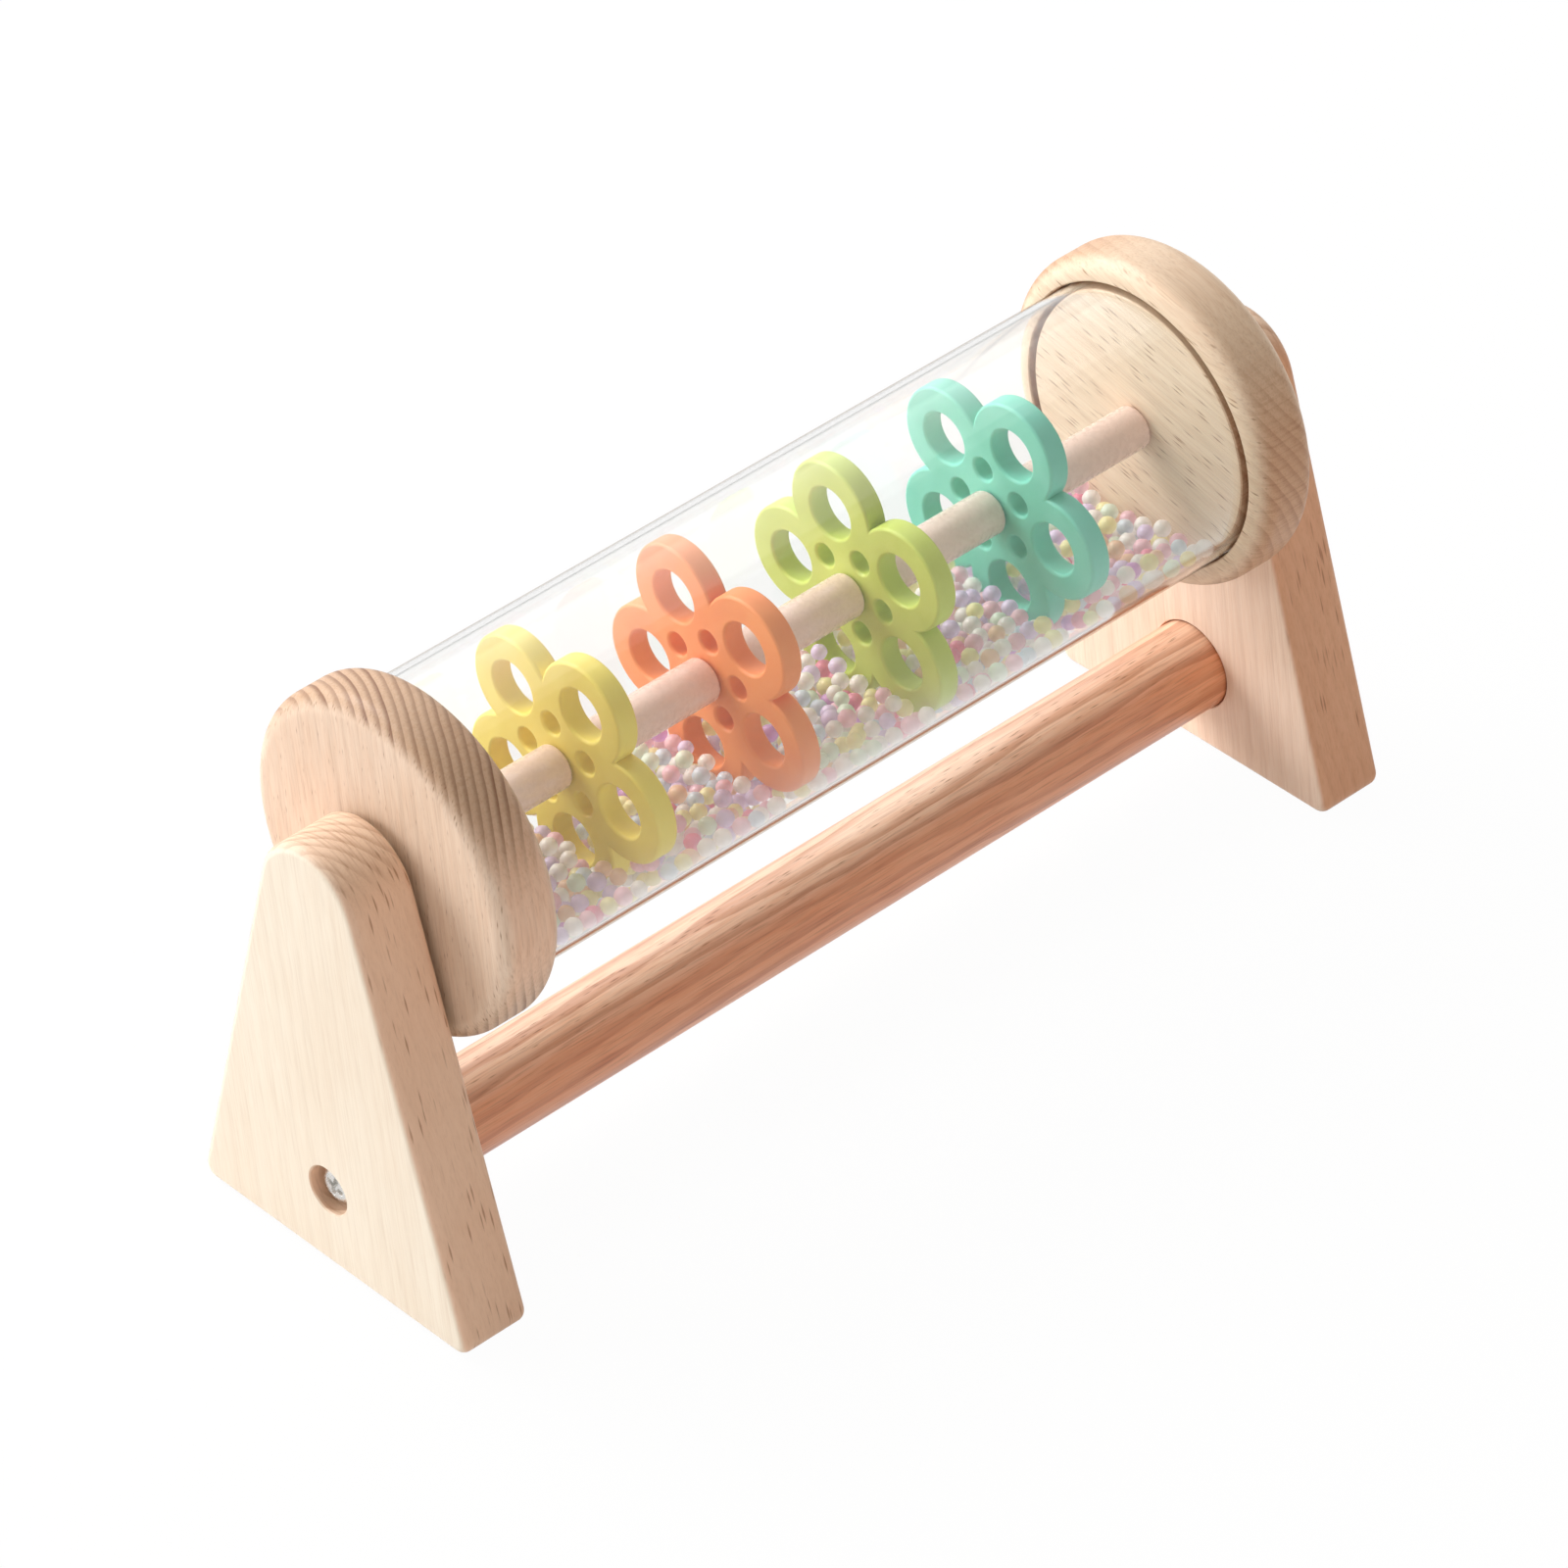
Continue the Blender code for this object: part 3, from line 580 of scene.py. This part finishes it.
for side, node in ((-1, "crossbar_screw_left"), (1, "crossbar_screw_right")):
    makeScrew(side, node, screwLook)
print("stand made")


# Drum

drumLook = {
    "steps": 192,
    "tubeWall": 0.0013,
    "grooveInner": 0.0327,
    "tubeEdge": 0.0002,
    "tubeSteps": 256,
    "tubeRows": 24,
    "rimRound": 0.0048,
    "grooveDepth": 0.006,
    "grooveGap": 0.00025,
    "grooveLip": 0.0003,
    "rodHole": 0.0032,
    "sleeveRound": 0.0011,
    "sleeveHole": 0.0033,
    "sleeveSteps": 72,
}
tubeLow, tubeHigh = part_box("clear_tube")
tubeRadius = (tubeHigh.z - tubeLow.z) / 2
tubeInner = tubeRadius - drumLook["tubeWall"]


def makeDisc(side, node, wood, look):
    low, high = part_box(node)
    inner, outer = (low.x, high.x) if side > 0 else (high.x, low.x)
    radius, rounding = (high.z - low.z) / 2, look["rimRound"]
    inside, outside = look["grooveInner"], tubeRadius + look["grooveGap"]
    floor, lip = inner + side * look["grooveDepth"], look["grooveLip"]
    centre = radius - rounding

    def rim(face, start, end):  # quarter circle of the rounded rim, from its two ends' angles
        across = arcPoints((0, centre), rounding, start, end, 14)
        return [(face + side * (rounding * (1 if face == inner else -1) + x), r) for x, r in across]

    flat = [(inner, r) for r in np.linspace(look["rodHole"], inside - lip, 8)]
    profile = flat + [(inner + side * lip, inside), (floor, inside), (floor, outside),
                      (inner + side * lip, outside), (inner, outside + lip)]
    profile += rim(inner, 180, 90) + rim(outer, 90, 0)
    profile += [(outer, r) for r in np.linspace(centre, look["rodHole"], 8)[1:]]
    disc = turnedPiece("disc" + node[10:].title(), wood, profile, axisHeight, look["steps"])
    standIn(disc, node, "drum")


makeDisc(-1, "drum_disc_left", leftDiscWood, drumLook)
makeDisc(1, "drum_disc_right", rightDiscWoodPaintedLight, drumLook)


def makeTube(look):
    edge = look["tubeEdge"]
    low, high = tubeLow.x, tubeHigh.x
    outerLine = [(x, tubeRadius) for x in np.linspace(low + edge, high - edge, look["tubeRows"])]
    innerLine = [(x, tubeInner) for x in np.linspace(high - edge, low + edge, look["tubeRows"])]
    profile = outerLine + [(high, tubeRadius - edge), (high, tubeInner + edge)] + innerLine
    profile += [(low, tubeInner + edge), (low, tubeRadius - edge)]
    tube = turnedPiece("clearTube", clear, profile, axisHeight, look["tubeSteps"])
    standIn(tube, "clear_tube", "drum")


makeTube(drumLook)


def makeSleeve(node, look):
    low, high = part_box(node)
    radius, rounding = (high.z - low.z) / 2, look["sleeveRound"]
    start = [(low.x + x, r) for x, r in arcPoints((rounding, radius - rounding), rounding, 180, 90, 8)]
    end = [(high.x - (x - low.x), r) for x, r in reversed(start)]
    profile = [(low.x, look["sleeveHole"])] + start + end + [(high.x, look["sleeveHole"])]
    sleeve = turnedPiece("sleeve" + node[-1], sleevePlastic, profile, axisHeight, look["sleeveSteps"])
    standIn(sleeve, node, "drum")


for number in range(1, 6):
    makeSleeve(f"spacer_sleeve_{number}", drumLook)

for node, material in (("axle_rod", rodWood), ("thrust_washer_left", nylon), ("thrust_washer_right", nylon)):
    frame["nodes"][node].data.materials.clear()
    frame["nodes"][node].data.materials.append(material)
print("drum made")


# Flowers

flowerLook = {
    "reach": 0.0316,
    "notch": 0.0209,
    "petals": 5,
    "petalHole": 0.00625,
    "smallHole": 0.00275,
    "smallRing": 0.010,
    "rodHole": 0.0033,
    "edgeRound": 0.0008,
    "petalSteps": 36,
    "turns": {"yellow": 42.6, "orange": 59.2, "lime": -0.6, "teal": 37.9},
    "colours": {
        "yellow": ((0.92, 0.78, 0.155, 1), (0.88, 0.72, 0.12, 1)),
        "orange": ((0.97, 0.35, 0.12, 1), (0.93, 0.30, 0.10, 1)),
        "lime": ((0.60, 0.72, 0.15, 1), (0.54, 0.66, 0.11, 1)),
        "teal": ((0.25, 0.73, 0.59, 1), (0.19, 0.66, 0.51, 1)),
    },
}


def petalRing(look):
    # a petal's circle reaches the flower's edge and passes through the notches beside it
    half = math.pi / look["petals"]
    ring = (look["reach"] ** 2 - look["notch"] ** 2) / (2 * (look["reach"] - look["notch"] * math.cos(half)))
    return ring, look["reach"] - ring


def flowerOutline(inset, turn, look):
    # arcs of the petals' circles, each made smaller by inset, from one notch to the next
    ring, radius = petalRing(look)
    radius -= inset
    half = math.pi / look["petals"]
    meet = ring * math.cos(half) + math.sqrt(radius ** 2 - (ring * math.sin(half)) ** 2)
    sweep = math.degrees(math.atan2(meet * math.sin(half), meet * math.cos(half) - ring))
    petal = arcPoints((ring, 0), radius, -sweep, sweep, look["petalSteps"])[:-1]
    angles = np.radians(turn + 360 / look["petals"] * np.arange(look["petals"]))
    turned = (petal[:, 0] + 1j * petal[:, 1]) * np.exp(1j * angles)[:, None]
    return np.stack([turned.real.ravel(), turned.imag.ravel()], 1)


def flowerHoles(turn, look):
    ring = petalRing(look)[0]
    step = 360 / look["petals"]
    large = arcPoints((0, 0), ring, turn, turn + 360, look["petals"])[:-1]
    small = arcPoints((0, 0), look["smallRing"], turn + step / 2, turn + step / 2 + 360, look["petals"])[:-1]
    holes = [(centre, look["petalHole"], 40) for centre in large]
    holes += [(centre, look["smallHole"], 24) for centre in small]
    return holes + [(np.zeros(2), look["rodHole"], 32)]


def makeFlower(name, look):
    # The rounded section, a half turn of small circles at its two edges, is carried along every outline:
    # each row is the outline drawn in by inset(k), at thickness(k).
    low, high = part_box("flower_" + name)
    middle, half = (low.x + high.x) / 2, (high.x - low.x) / 2
    rounding = look["edgeRound"]
    corner = np.radians(np.linspace(90, 0, 6))
    inset = rounding * (1 - np.cos(corner))
    thick = half - rounding * (1 - np.sin(corner))
    insets = np.concatenate([inset, inset[::-1]])
    thicks = np.concatenate([thick, -thick[::-1]])
    turn = look["turns"][name]
    bands = [np.stack([flowerOutline(inset, turn, look) for inset in insets])]
    for centre, radius, steps in flowerHoles(turn, look):
        bands.append(np.stack([arcPoints(centre, radius + inset, 0, 360, steps)[:-1] for inset in insets]))
    points, faces, count = [], [], 0
    for band in bands:
        x = np.broadcast_to(middle + thicks[:, None], band.shape[:2])
        points.append(np.stack([x, band[..., 0], axisHeight + band[..., 1]], -1).reshape(-1, 3))
        faces.append(gridFaces(*band.shape[:2], False) + count)
        count += len(points[-1])
    silicone = speckled("silicone" + name.title(), *look["colours"][name], 0.50, 0.0007, 0.12,
                        Subsurface_Weight=0.04, Subsurface_Scale=0.002)
    flower = newPiece("flower" + name.title(), silicone, np.concatenate(points), np.concatenate(faces),
                      flatEnds=(low.x, high.x), sharpAngle=50)
    even = flower.modifiers.new("even shading", "WEIGHTED_NORMAL")
    even.keep_sharp = True
    standIn(flower, "flower_" + name, name + "_flower")


for name in flowerLook["turns"]:
    makeFlower(name, flowerLook)
print("flowers made")


# Beads

beadLook = {
    "radius": (0.0018, 0.0022),
    "perMillimetre": (11.6, 9.0, 9.4, 10.2, 7.6),  # beads in each bay, for a millimetre of its length
    "tilt": 4,  # degrees that the pile leans toward the front
    "startWidth": 0.022,
    "startHeights": (-0.030, -0.016),  # from the drum's axis
    "fall": 0.0005,  # in the first round
    "rounds": 170,
    "pushes": 3,  # in each round
    "brightness": (0.95, 1.04),
    "seed": 11,
    "clearance": 0.0001,
    "passed": 0.8,
    "translucent": 0.28,
    # each colour and its share of the beads
    "cream": ((0.99, 0.95, 0.91), 0.26),
    "yellow": ((0.98, 0.92, 0.46), 0.13),
    "mint": ((0.84, 0.97, 0.80), 0.07),
    "blue": ((0.76, 0.87, 0.99), 0.11),
    "lilac": ((0.84, 0.70, 0.97), 0.13),
    "pink": ((0.99, 0.62, 0.72), 0.15),
    "rose": ((0.96, 0.30, 0.45), 0.06),
    "peach": ((0.98, 0.68, 0.46), 0.08),
    "orchid": ((0.80, 0.42, 0.86), 0.03),
}


def roundCage(cells):
    # the six sides of a cube, each a grid of equal angles, pushed out to a sphere of radius 1
    line = np.tan(np.linspace(-np.pi / 4, np.pi / 4, cells + 1))
    u, v = np.meshgrid(line, line, indexing="ij")
    one = np.ones_like(u)
    sides = [(one, u, v), (-one, v, u), (v, one, u), (u, -one, v), (u, v, one), (v, u, -one)]
    points = np.stack([np.stack(side, -1).reshape(-1, 3) for side in sides]).reshape(-1, 3)
    points /= np.linalg.norm(points, axis=1)[:, None]
    grid = np.arange((cells + 1) ** 2).reshape(cells + 1, cells + 1)
    cell = np.stack([grid[:-1, :-1], grid[1:, :-1], grid[1:, 1:], grid[:-1, 1:]], -1).reshape(-1, 4)
    faces = np.concatenate([cell + side * grid.size for side in range(6)])
    unique, index = np.unique(np.round(points, 6), axis=0, return_inverse=True)
    return unique, index.reshape(-1)[faces]


def settleBeads(start, end, count, look, random):
    # Balls start at random low in the bay. Each round moves them down a little, then moves every pair that
    # overlaps apart by half the overlap, and keeps every ball inside the tube's wall and the bay's two ends.
    radius = random.uniform(*look["radius"], count)
    inner = tubeInner - look["clearance"]
    width = look["startWidth"]
    place = np.stack([random.uniform(start, end, count), random.uniform(-width, width, count),
                      random.uniform(*look["startHeights"], count)], 1)
    lean = math.radians(look["tilt"])
    down = np.array([0, -math.sin(lean), -math.cos(lean)])
    touch = radius[:, None] + radius
    np.fill_diagonal(touch, 0)
    for step in range(look["rounds"]):
        place += down * look["fall"] * (1 - step / look["rounds"]) ** 2
        for again in range(look["pushes"]):
            gap = place[:, None] - place
            distance = np.sqrt(np.einsum("ijk,ijk->ij", gap, gap)) + 1e-9
            overlap = np.clip(touch - distance, 0, None)
            push = np.einsum("ijk,ij->ik", gap, overlap / distance) / 2
            place += push / np.sqrt((overlap > 0).sum(1).clip(1, None))[:, None]
            inward = np.minimum(1, (inner - radius) / np.hypot(place[:, 1], place[:, 2]))
            place[:, 1:] *= inward[:, None]
            place[:, 0] = np.clip(place[:, 0], start + radius, end - radius)
    return place, radius


def beadMaterial():
    material, tree, shader = newMaterial("pastelBeads")
    tint = addNode(tree, "Attribute", attribute_name="beadTint").outputs["Color"]
    fine = noise(tree, scaled(tree, objectPlace(tree), (1200, 1200, 1200)), detail=2)
    colour = mixColour(tree, remap(tree, fine, 0.3, 0.7, 0.05, 0.15), tint, (0.99, 0.96, 0.94, 1))
    tree.links.new(colour, shader.inputs["Base Color"])
    tree.links.new(remap(tree, fine, 0.3, 0.7, 0.34, 0.48), shader.inputs["Roughness"])
    bump(tree, shader, fine, 0.1, 0.00003)
    # foam: part of a bead's light comes from behind it, and most of the lamps' light passes on to the next
    behind = addNode(tree, "BsdfTranslucent", {"Color": colour})
    inputs = {0: beadLook["translucent"], 1: shader.outputs[0], 2: behind.outputs[0]}
    foam = addNode(tree, "MixShader", inputs)
    path = addNode(tree, "LightPath")
    lit = maths(tree, "MAXIMUM", path.outputs["Is Shadow Ray"], path.outputs["Is Diffuse Ray"])
    through = addNode(tree, "BsdfTransparent", {"Color": (1, 1, 1, 1)})
    share = maths(tree, "MULTIPLY", lit, beadLook["passed"])
    mix = addNode(tree, "MixShader", {0: share, 1: foam.outputs[0], 2: through.outputs[0]})
    tree.links.new(mix.outputs[0], tree.nodes["Material Output"].inputs["Surface"])
    return material


def makeBeads(look):
    random = np.random.default_rng(look["seed"])
    unit, unitFaces = roundCage(3)
    material = beadMaterial()
    tints = [value for value in look.values() if isinstance(value, tuple) and isinstance(value[0], tuple)]
    colours = np.array([colour for colour, share in tints])
    shares = np.array([share for colour, share in tints])
    for number, density in enumerate(look["perMillimetre"], 1):
        node = f"bead_bed_{number}"
        low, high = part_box(node)
        count = round((high.x - low.x) * 1000 * density)
        place, radius = settleBeads(low.x, high.x, count, look, random)
        points = place[:, None] + radius[:, None, None] * unit + np.array([0, 0, axisHeight])
        faces = unitFaces[None] + len(unit) * np.arange(count)[:, None, None]
        beads = newPiece(f"beadsBay{number}", material, points, faces.reshape(-1, 4), sharpAngle=180)
        tone = colours[random.choice(len(colours), count, p=shares / shares.sum())]
        tone = np.clip(tone * random.uniform(*look["brightness"], (count, 1)), 0, 1)
        rgba = np.concatenate([np.repeat(tone, len(unit), 0), np.ones((count * len(unit), 1))], 1)
        layer = beads.data.color_attributes.new("beadTint", "FLOAT_COLOR", "POINT")
        layer.data.foreach_set("color", rgba.astype(np.float32).ravel())
        standIn(beads, node, "beads")
        print("bay", number, "beads", count, "top", round(place[:, 2].max() * 1000, 1))


makeBeads(beadLook)
print("beads settled")


# Floor, light and camera

stageLook = {
    "floorSize": 6,
    "floorDrop": 0.0002,  # so that no foot lies in the floor's own plane
    "floorColour": (0.92, 0.92, 0.92, 1),
    "floorGlow": 0.97,  # how much of what the camera sees of the floor is plain white
    "sky": 0.38,
    "skyTint": (1, 0.92, 0.83, 1),
    # each lamp: direction from the toy (azimuth from +X toward +Y, elevation), distance, size, power and tint
    "lamps": {
        "keyLamp": (138, 17, 1.6, 0.8, 11.5, (1, 1, 1)),
        "backLamp": (105, 42, 1.6, 0.8, 16.5, (1, 1, 1)),
        "softLamp": (58, 46, 1.8, 2.5, 8, (1, 1, 1)),
        "innerSoftLamp": (58, 50, 1.8, 1.7, 5, (1, 1, 1)),
        "frontLamp": (-105, 3, 1.6, 0.8, 3, (1, 0.93, 0.86)),
    },
}


def seenShare(tree):
    # 1 for what the camera sees straight, in gloss or through the clear tube, and 0 for what lights the toy
    path = addNode(tree, "LightPath")
    seen = maths(tree, "MAXIMUM", path.outputs["Is Camera Ray"], path.outputs["Is Glossy Ray"])
    return maths(tree, "MAXIMUM", seen, path.outputs["Is Transmission Ray"])


def makeFloor(look):
    size = look["floorSize"] / 2
    mesh = bpy.data.meshes.new("floor")
    corners = [(-size, -size, 0), (size, -size, 0), (size, size, 0), (-size, size, 0)]
    mesh.from_pydata(corners, [], [(0, 1, 2, 3)])
    floor = bpy.data.objects.new("floor", mesh)
    floor.location.z = -look["floorDrop"]
    bpy.context.scene.collection.objects.link(floor)
    material, tree, shader = newMaterial("paleFloor")
    shader.inputs["Base Color"].default_value = look["floorColour"]
    shader.inputs["Roughness"].default_value = 0.9
    white = addNode(tree, "Emission", {"Color": (1, 1, 1, 1), "Strength": 1})
    seen = maths(tree, "MULTIPLY", seenShare(tree), look["floorGlow"])
    mix = addNode(tree, "MixShader", {0: seen, 1: shader.outputs[0], 2: white.outputs[0]})
    tree.links.new(mix.outputs[0], tree.nodes["Material Output"].inputs["Surface"])
    mesh.materials.append(material)


def makeLight(look):
    world = bpy.data.worlds.new("studio")
    bpy.context.scene.world = world
    world.use_nodes = True
    tree = world.node_tree
    seen = seenShare(tree)
    strength = addNode(tree, "MapRange", {"Value": seen, "To Min": look["sky"], "To Max": 1}).outputs[0]
    background = tree.nodes["Background"]
    tint = mixColour(tree, seen, look["skyTint"], (1, 1, 1, 1))
    tree.links.new(tint, background.inputs["Color"])
    tree.links.new(strength, background.inputs["Strength"])
    for name, (azimuth, elevation, distance, size, power, tint) in look["lamps"].items():
        lamp = bpy.data.lights.new(name, "AREA")
        lamp.shape = "DISK"
        lamp.size = size
        lamp.energy = power
        lamp.color = tint
        holder = bpy.data.objects.new(name, lamp)
        a, e = math.radians(azimuth), math.radians(elevation)
        toward = Vector((math.cos(a) * math.cos(e), math.sin(a) * math.cos(e), math.sin(e)))
        holder.location = toward * distance
        holder.rotation_euler = toward.to_track_quat("Z", "Y").to_euler()
        bpy.context.scene.collection.objects.link(holder)


cameraLook = {
    "azimuth": -41.852,
    "elevation": 38.326,
    "roll": -1.888,
    "distance": 1.88715,
    "aim": (-0.003291, 0.001966, 0.055075),
    "lens": 196.73,
    "sensor": 36,
}


def makeCamera(look):
    a, e, roll = (math.radians(look[key]) for key in ("azimuth", "elevation", "roll"))
    back = Vector((math.sin(a) * math.cos(e), -math.cos(a) * math.cos(e), math.sin(e)))
    right = Vector((math.cos(a), math.sin(a), 0))
    up = back.cross(right)
    turnedRight = right * math.cos(roll) + up * math.sin(roll)
    turnedUp = up * math.cos(roll) - right * math.sin(roll)
    data = bpy.data.cameras.new("camera")
    data.lens = look["lens"]
    data.sensor_width = look["sensor"]
    camera = bpy.data.objects.new("camera", data)
    place = Matrix((turnedRight, turnedUp, back)).transposed().to_4x4()
    place.translation = Vector(look["aim"]) + back * look["distance"]
    camera.matrix_world = place
    bpy.context.scene.collection.objects.link(camera)
    bpy.context.scene.camera = camera


makeFloor(stageLook)
makeLight(stageLook)
makeCamera(cameraLook)
bpy.context.scene.view_settings.view_transform = "Standard"
print("stage set")
